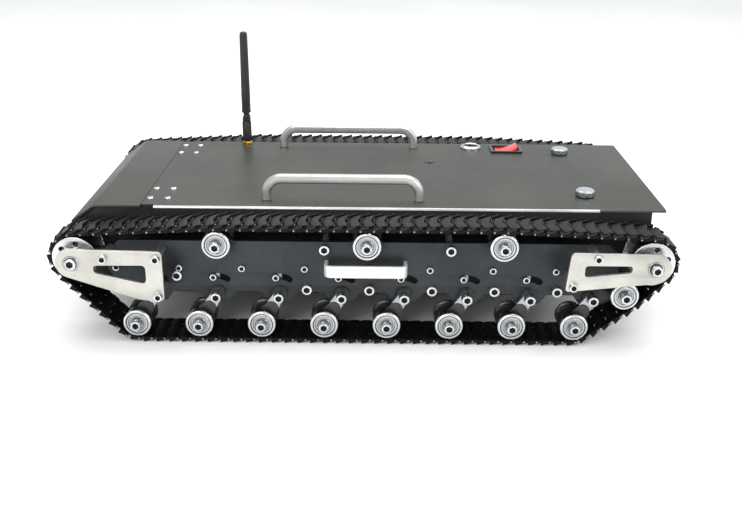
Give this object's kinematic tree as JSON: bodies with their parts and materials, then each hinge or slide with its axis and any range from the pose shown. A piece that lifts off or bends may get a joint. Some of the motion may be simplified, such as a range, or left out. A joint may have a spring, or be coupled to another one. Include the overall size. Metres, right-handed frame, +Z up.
{
  "type": "tracked robot chassis",
  "caption": "Low tracked robot chassis with hinged deck lid, carrying handles, trailing-arm suspension and endless tracks driven by end sprockets.",
  "frame": {"origin": "on the ground under the middle of the tracks, midway between the two tracks", "axes": "+X towards the idler end, opposite the hinged end of the lid; +Y towards the side with the antenna and switch; +Z up, normal to the deck"},
  "size_m": [0.506, 0.32, 0.215],
  "materials": {
    "hull_paint": "satin dark grey coating",
    "plate_black": "satin blue-black coating",
    "bracket_aluminium": "brushed",
    "track_plastic": "matt, moulded",
    "wheel_metal": "turned",
    "arm_metal": "satin",
    "handle_aluminium": "satin anodised",
    "knob_metal": "polished",
    "rocker_red": "gloss",
    "antenna_black": "matt"
  },
  "bodies": {
    "hull": {"hull_tub": "hull_paint", "side_plate_near": "plate_black", "end_bracket_front_near": "bracket_aluminium", "end_bracket_rear_near": "bracket_aluminium", "track_near": "track_plastic", "side_plate_far": "plate_black", "end_bracket_front_far": "bracket_aluminium", "end_bracket_rear_far": "bracket_aluminium", "track_far": "track_plastic"},
    "lid": {"deck_lid": "hull_paint", "top_handle_near": "handle_aluminium", "top_handle_far": "handle_aluminium"},
    "knob_near": {"lid_knob_near": "knob_metal"},
    "knob_far": {"lid_knob_far": "knob_metal"},
    "rocker": {"power_rocker": "rocker_red"},
    "antenna": {"antenna_whip": "antenna_black"},
    "sprocket_near": {"drive_sprocket_near": "wheel_metal"},
    "idler_near": {"idler_wheel_near": "wheel_metal"},
    "guide_near": {"guide_wheel_near": "wheel_metal"},
    "roller_near_1": {"return_roller_near_1": "wheel_metal"},
    "roller_near_2": {"return_roller_near_2": "wheel_metal"},
    "roller_near_3": {"return_roller_near_3": "wheel_metal"},
    "arm_near_1": {"suspension_arm_near_1": "arm_metal"},
    "wheel_near_1": {"road_wheel_near_1": "wheel_metal"},
    "arm_near_2": {"suspension_arm_near_2": "arm_metal"},
    "wheel_near_2": {"road_wheel_near_2": "wheel_metal"},
    "arm_near_3": {"suspension_arm_near_3": "arm_metal"},
    "wheel_near_3": {"road_wheel_near_3": "wheel_metal"},
    "arm_near_4": {"suspension_arm_near_4": "arm_metal"},
    "wheel_near_4": {"road_wheel_near_4": "wheel_metal"},
    "arm_near_5": {"suspension_arm_near_5": "arm_metal"},
    "wheel_near_5": {"road_wheel_near_5": "wheel_metal"},
    "arm_near_6": {"suspension_arm_near_6": "arm_metal"},
    "wheel_near_6": {"road_wheel_near_6": "wheel_metal"},
    "arm_near_7": {"suspension_arm_near_7": "arm_metal"},
    "wheel_near_7": {"road_wheel_near_7": "wheel_metal"},
    "arm_near_8": {"suspension_arm_near_8": "arm_metal"},
    "wheel_near_8": {"road_wheel_near_8": "wheel_metal"},
    "sprocket_far": {"drive_sprocket_far": "wheel_metal"},
    "idler_far": {"idler_wheel_far": "wheel_metal"},
    "guide_far": {"guide_wheel_far": "wheel_metal"},
    "roller_far_1": {"return_roller_far_1": "wheel_metal"},
    "roller_far_2": {"return_roller_far_2": "wheel_metal"},
    "roller_far_3": {"return_roller_far_3": "wheel_metal"},
    "arm_far_1": {"suspension_arm_far_1": "arm_metal"},
    "wheel_far_1": {"road_wheel_far_1": "wheel_metal"},
    "arm_far_2": {"suspension_arm_far_2": "arm_metal"},
    "wheel_far_2": {"road_wheel_far_2": "wheel_metal"},
    "arm_far_3": {"suspension_arm_far_3": "arm_metal"},
    "wheel_far_3": {"road_wheel_far_3": "wheel_metal"},
    "arm_far_4": {"suspension_arm_far_4": "arm_metal"},
    "wheel_far_4": {"road_wheel_far_4": "wheel_metal"},
    "arm_far_5": {"suspension_arm_far_5": "arm_metal"},
    "wheel_far_5": {"road_wheel_far_5": "wheel_metal"},
    "arm_far_6": {"suspension_arm_far_6": "arm_metal"},
    "wheel_far_6": {"road_wheel_far_6": "wheel_metal"},
    "arm_far_7": {"suspension_arm_far_7": "arm_metal"},
    "wheel_far_7": {"road_wheel_far_7": "wheel_metal"},
    "arm_far_8": {"suspension_arm_far_8": "arm_metal"},
    "wheel_far_8": {"road_wheel_far_8": "wheel_metal"}
  },
  "joints": [
    {"name": "lid_hinge", "type": "hinge", "parent": "hull", "child": "lid", "pos_m": [-0.1848, 0, 0.104], "axis": [0, -1, 0], "range_deg": [0, 105]},
    {"name": "knob_near_turn", "type": "hinge", "parent": "lid", "child": "knob_near", "pos_m": [0.188, -0.066, 0.104], "axis": [0, 0, 1], "continuous": true},
    {"name": "knob_far_turn", "type": "hinge", "parent": "lid", "child": "knob_far", "pos_m": [0.188, 0.066, 0.104], "axis": [0, 0, 1], "continuous": true},
    {"name": "power_rocker_tip", "type": "hinge", "parent": "lid", "child": "rocker", "pos_m": [0.137, 0.079, 0.104], "axis": [0, 1, 0], "range_deg": [0, 24]},
    {"name": "antenna_tilt", "type": "hinge", "parent": "lid", "child": "antenna", "pos_m": [-0.12, 0.093, 0.131], "axis": [0, 1, 0], "range_deg": [0, 90]},
    {"name": "sprocket_near_spin", "type": "hinge", "parent": "hull", "child": "sprocket_near", "pos_m": [-0.23, -0.125, 0.073], "axis": [0, 1, 0], "continuous": true},
    {"name": "idler_near_spin", "type": "hinge", "parent": "hull", "child": "idler_near", "pos_m": [0.23, -0.125, 0.073], "axis": [0, 1, 0], "continuous": true},
    {"name": "guide_near_spin", "type": "hinge", "parent": "hull", "child": "guide_near", "pos_m": [0.211, -0.125, 0.0445], "axis": [0, 1, 0], "continuous": true},
    {"name": "roller_near_1_spin", "type": "hinge", "parent": "hull", "child": "roller_near_1", "pos_m": [-0.117, -0.125, 0.085], "axis": [0, 1, 0], "continuous": true},
    {"name": "roller_near_2_spin", "type": "hinge", "parent": "hull", "child": "roller_near_2", "pos_m": [0.003, -0.125, 0.085], "axis": [0, 1, 0], "continuous": true},
    {"name": "roller_near_3_spin", "type": "hinge", "parent": "hull", "child": "roller_near_3", "pos_m": [0.112, -0.125, 0.085], "axis": [0, 1, 0], "continuous": true},
    {"name": "arm_near_1_swing", "type": "hinge", "parent": "hull", "child": "arm_near_1", "pos_m": [-0.1705, -0.13, 0.0389], "axis": [0, 1, 0], "range_deg": [0, 36], "stiffness_Nm_per_rad": 0.6, "springref_deg": -20.05},
    {"name": "wheel_near_1_spin", "type": "hinge", "parent": "arm_near_1", "child": "wheel_near_1", "pos_m": [-0.1847, -0.125, 0.0165], "axis": [0, 1, 0], "continuous": true},
    {"name": "arm_near_2_swing", "type": "hinge", "parent": "hull", "child": "arm_near_2", "pos_m": [-0.1195, -0.13, 0.0389], "axis": [0, 1, 0], "range_deg": [0, 36], "stiffness_Nm_per_rad": 0.6, "springref_deg": -20.05},
    {"name": "wheel_near_2_spin", "type": "hinge", "parent": "arm_near_2", "child": "wheel_near_2", "pos_m": [-0.1337, -0.125, 0.0165], "axis": [0, 1, 0], "continuous": true},
    {"name": "arm_near_3_swing", "type": "hinge", "parent": "hull", "child": "arm_near_3", "pos_m": [-0.0685, -0.13, 0.0389], "axis": [0, 1, 0], "range_deg": [0, 36], "stiffness_Nm_per_rad": 0.6, "springref_deg": -20.05},
    {"name": "wheel_near_3_spin", "type": "hinge", "parent": "arm_near_3", "child": "wheel_near_3", "pos_m": [-0.0827, -0.125, 0.0165], "axis": [0, 1, 0], "continuous": true},
    {"name": "arm_near_4_swing", "type": "hinge", "parent": "hull", "child": "arm_near_4", "pos_m": [-0.0175, -0.13, 0.0389], "axis": [0, 1, 0], "range_deg": [0, 36], "stiffness_Nm_per_rad": 0.6, "springref_deg": -20.05},
    {"name": "wheel_near_4_spin", "type": "hinge", "parent": "arm_near_4", "child": "wheel_near_4", "pos_m": [-0.0317, -0.125, 0.0165], "axis": [0, 1, 0], "continuous": true},
    {"name": "arm_near_5_swing", "type": "hinge", "parent": "hull", "child": "arm_near_5", "pos_m": [0.0335, -0.13, 0.0389], "axis": [0, 1, 0], "range_deg": [0, 36], "stiffness_Nm_per_rad": 0.6, "springref_deg": -20.05},
    {"name": "wheel_near_5_spin", "type": "hinge", "parent": "arm_near_5", "child": "wheel_near_5", "pos_m": [0.0193, -0.125, 0.0165], "axis": [0, 1, 0], "continuous": true},
    {"name": "arm_near_6_swing", "type": "hinge", "parent": "hull", "child": "arm_near_6", "pos_m": [0.0845, -0.13, 0.0389], "axis": [0, 1, 0], "range_deg": [0, 36], "stiffness_Nm_per_rad": 0.6, "springref_deg": -20.05},
    {"name": "wheel_near_6_spin", "type": "hinge", "parent": "arm_near_6", "child": "wheel_near_6", "pos_m": [0.0703, -0.125, 0.0165], "axis": [0, 1, 0], "continuous": true},
    {"name": "arm_near_7_swing", "type": "hinge", "parent": "hull", "child": "arm_near_7", "pos_m": [0.1355, -0.13, 0.0389], "axis": [0, 1, 0], "range_deg": [0, 36], "stiffness_Nm_per_rad": 0.6, "springref_deg": -20.05},
    {"name": "wheel_near_7_spin", "type": "hinge", "parent": "arm_near_7", "child": "wheel_near_7", "pos_m": [0.1213, -0.125, 0.0165], "axis": [0, 1, 0], "continuous": true},
    {"name": "arm_near_8_swing", "type": "hinge", "parent": "hull", "child": "arm_near_8", "pos_m": [0.1865, -0.13, 0.0389], "axis": [0, 1, 0], "range_deg": [0, 36], "stiffness_Nm_per_rad": 0.6, "springref_deg": -20.05},
    {"name": "wheel_near_8_spin", "type": "hinge", "parent": "arm_near_8", "child": "wheel_near_8", "pos_m": [0.1723, -0.125, 0.0165], "axis": [0, 1, 0], "continuous": true},
    {"name": "sprocket_far_spin", "type": "hinge", "parent": "hull", "child": "sprocket_far", "pos_m": [-0.23, 0.125, 0.073], "axis": [0, 1, 0], "continuous": true},
    {"name": "idler_far_spin", "type": "hinge", "parent": "hull", "child": "idler_far", "pos_m": [0.23, 0.125, 0.073], "axis": [0, 1, 0], "continuous": true},
    {"name": "guide_far_spin", "type": "hinge", "parent": "hull", "child": "guide_far", "pos_m": [0.211, 0.125, 0.0445], "axis": [0, 1, 0], "continuous": true},
    {"name": "roller_far_1_spin", "type": "hinge", "parent": "hull", "child": "roller_far_1", "pos_m": [-0.117, 0.125, 0.085], "axis": [0, 1, 0], "continuous": true},
    {"name": "roller_far_2_spin", "type": "hinge", "parent": "hull", "child": "roller_far_2", "pos_m": [0.003, 0.125, 0.085], "axis": [0, 1, 0], "continuous": true},
    {"name": "roller_far_3_spin", "type": "hinge", "parent": "hull", "child": "roller_far_3", "pos_m": [0.112, 0.125, 0.085], "axis": [0, 1, 0], "continuous": true},
    {"name": "arm_far_1_swing", "type": "hinge", "parent": "hull", "child": "arm_far_1", "pos_m": [-0.1705, 0.13, 0.0389], "axis": [0, 1, 0], "range_deg": [0, 36], "stiffness_Nm_per_rad": 0.6, "springref_deg": -20.05},
    {"name": "wheel_far_1_spin", "type": "hinge", "parent": "arm_far_1", "child": "wheel_far_1", "pos_m": [-0.1847, 0.125, 0.0165], "axis": [0, 1, 0], "continuous": true},
    {"name": "arm_far_2_swing", "type": "hinge", "parent": "hull", "child": "arm_far_2", "pos_m": [-0.1195, 0.13, 0.0389], "axis": [0, 1, 0], "range_deg": [0, 36], "stiffness_Nm_per_rad": 0.6, "springref_deg": -20.05},
    {"name": "wheel_far_2_spin", "type": "hinge", "parent": "arm_far_2", "child": "wheel_far_2", "pos_m": [-0.1337, 0.125, 0.0165], "axis": [0, 1, 0], "continuous": true},
    {"name": "arm_far_3_swing", "type": "hinge", "parent": "hull", "child": "arm_far_3", "pos_m": [-0.0685, 0.13, 0.0389], "axis": [0, 1, 0], "range_deg": [0, 36], "stiffness_Nm_per_rad": 0.6, "springref_deg": -20.05},
    {"name": "wheel_far_3_spin", "type": "hinge", "parent": "arm_far_3", "child": "wheel_far_3", "pos_m": [-0.0827, 0.125, 0.0165], "axis": [0, 1, 0], "continuous": true},
    {"name": "arm_far_4_swing", "type": "hinge", "parent": "hull", "child": "arm_far_4", "pos_m": [-0.0175, 0.13, 0.0389], "axis": [0, 1, 0], "range_deg": [0, 36], "stiffness_Nm_per_rad": 0.6, "springref_deg": -20.05},
    {"name": "wheel_far_4_spin", "type": "hinge", "parent": "arm_far_4", "child": "wheel_far_4", "pos_m": [-0.0317, 0.125, 0.0165], "axis": [0, 1, 0], "continuous": true},
    {"name": "arm_far_5_swing", "type": "hinge", "parent": "hull", "child": "arm_far_5", "pos_m": [0.0335, 0.13, 0.0389], "axis": [0, 1, 0], "range_deg": [0, 36], "stiffness_Nm_per_rad": 0.6, "springref_deg": -20.05},
    {"name": "wheel_far_5_spin", "type": "hinge", "parent": "arm_far_5", "child": "wheel_far_5", "pos_m": [0.0193, 0.125, 0.0165], "axis": [0, 1, 0], "continuous": true},
    {"name": "arm_far_6_swing", "type": "hinge", "parent": "hull", "child": "arm_far_6", "pos_m": [0.0845, 0.13, 0.0389], "axis": [0, 1, 0], "range_deg": [0, 36], "stiffness_Nm_per_rad": 0.6, "springref_deg": -20.05},
    {"name": "wheel_far_6_spin", "type": "hinge", "parent": "arm_far_6", "child": "wheel_far_6", "pos_m": [0.0703, 0.125, 0.0165], "axis": [0, 1, 0], "continuous": true},
    {"name": "arm_far_7_swing", "type": "hinge", "parent": "hull", "child": "arm_far_7", "pos_m": [0.1355, 0.13, 0.0389], "axis": [0, 1, 0], "range_deg": [0, 36], "stiffness_Nm_per_rad": 0.6, "springref_deg": -20.05},
    {"name": "wheel_far_7_spin", "type": "hinge", "parent": "arm_far_7", "child": "wheel_far_7", "pos_m": [0.1213, 0.125, 0.0165], "axis": [0, 1, 0], "continuous": true},
    {"name": "arm_far_8_swing", "type": "hinge", "parent": "hull", "child": "arm_far_8", "pos_m": [0.1865, 0.13, 0.0389], "axis": [0, 1, 0], "range_deg": [0, 36], "stiffness_Nm_per_rad": 0.6, "springref_deg": -20.05},
    {"name": "wheel_far_8_spin", "type": "hinge", "parent": "arm_far_8", "child": "wheel_far_8", "pos_m": [0.1723, 0.125, 0.0165], "axis": [0, 1, 0], "continuous": true}
  ],
  "couplings": [
    {"joint": "idler_near_spin", "follows": "sprocket_near_spin", "ratio": 1},
    {"joint": "guide_near_spin", "follows": "sprocket_near_spin", "ratio": 1.5652},
    {"joint": "roller_near_1_spin", "follows": "sprocket_near_spin", "ratio": 1.5652},
    {"joint": "roller_near_2_spin", "follows": "sprocket_near_spin", "ratio": 1.5652},
    {"joint": "roller_near_3_spin", "follows": "sprocket_near_spin", "ratio": 1.5652},
    {"joint": "wheel_near_1_spin", "follows": "sprocket_near_spin", "ratio": 1.5652},
    {"joint": "wheel_near_2_spin", "follows": "sprocket_near_spin", "ratio": 1.5652},
    {"joint": "wheel_near_3_spin", "follows": "sprocket_near_spin", "ratio": 1.5652},
    {"joint": "wheel_near_4_spin", "follows": "sprocket_near_spin", "ratio": 1.5652},
    {"joint": "wheel_near_5_spin", "follows": "sprocket_near_spin", "ratio": 1.5652},
    {"joint": "wheel_near_6_spin", "follows": "sprocket_near_spin", "ratio": 1.5652},
    {"joint": "wheel_near_7_spin", "follows": "sprocket_near_spin", "ratio": 1.5652},
    {"joint": "wheel_near_8_spin", "follows": "sprocket_near_spin", "ratio": 1.5652},
    {"joint": "idler_far_spin", "follows": "sprocket_far_spin", "ratio": 1},
    {"joint": "guide_far_spin", "follows": "sprocket_far_spin", "ratio": 1.5652},
    {"joint": "roller_far_1_spin", "follows": "sprocket_far_spin", "ratio": 1.5652},
    {"joint": "roller_far_2_spin", "follows": "sprocket_far_spin", "ratio": 1.5652},
    {"joint": "roller_far_3_spin", "follows": "sprocket_far_spin", "ratio": 1.5652},
    {"joint": "wheel_far_1_spin", "follows": "sprocket_far_spin", "ratio": 1.5652},
    {"joint": "wheel_far_2_spin", "follows": "sprocket_far_spin", "ratio": 1.5652},
    {"joint": "wheel_far_3_spin", "follows": "sprocket_far_spin", "ratio": 1.5652},
    {"joint": "wheel_far_4_spin", "follows": "sprocket_far_spin", "ratio": 1.5652},
    {"joint": "wheel_far_5_spin", "follows": "sprocket_far_spin", "ratio": 1.5652},
    {"joint": "wheel_far_6_spin", "follows": "sprocket_far_spin", "ratio": 1.5652},
    {"joint": "wheel_far_7_spin", "follows": "sprocket_far_spin", "ratio": 1.5652},
    {"joint": "wheel_far_8_spin", "follows": "sprocket_far_spin", "ratio": 1.5652}
  ]
}
